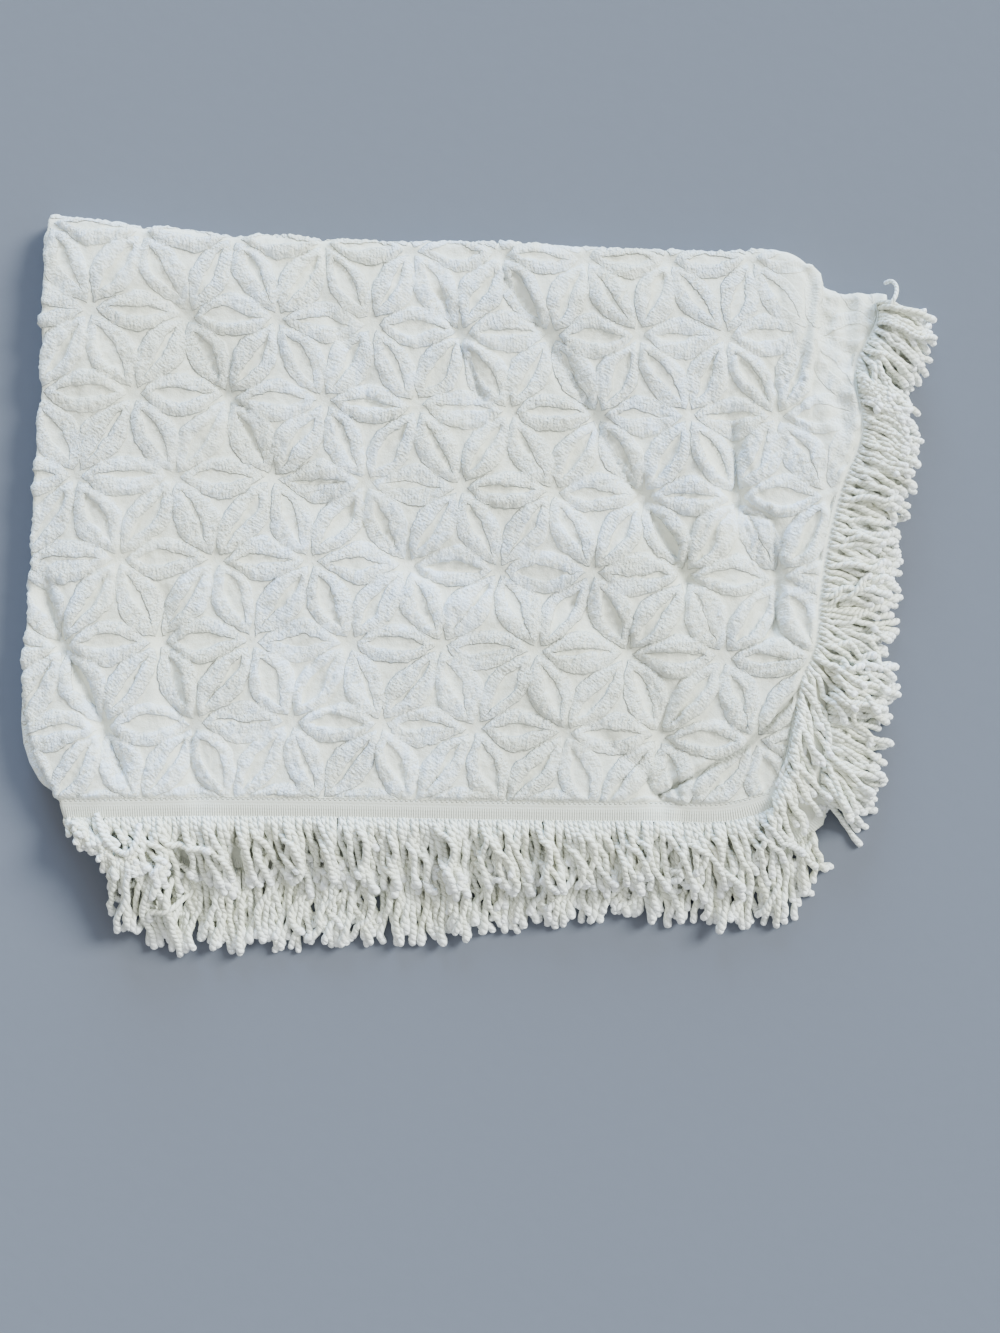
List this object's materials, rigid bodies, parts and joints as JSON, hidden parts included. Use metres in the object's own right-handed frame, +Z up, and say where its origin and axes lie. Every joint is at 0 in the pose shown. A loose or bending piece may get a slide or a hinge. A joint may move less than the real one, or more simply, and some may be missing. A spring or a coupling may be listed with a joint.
{
  "type": "folded bedspread",
  "caption": "Folded chenille bedspread in ivory cotton with a tufted petal lattice and a twisted cord fringe on the foot and side hems.",
  "frame": {"origin": "centre of the whole outline in plan, on the surface that the folded bedspread lies on", "axes": "+Z up from the resting face, +X across the folded width from the long fold towards the side hems, +Y from the foot hems towards the top fold"},
  "size_m": [1.016, 0.8008, 0.047],
  "materials": {
    "chenille": "matt tufted cotton pile",
    "fringe": "matt twisted cotton cord"
  },
  "bodies": {
    "root": {"cloth": "chenille", "fringe_trim": "fringe"}
  },
  "joints": []
}
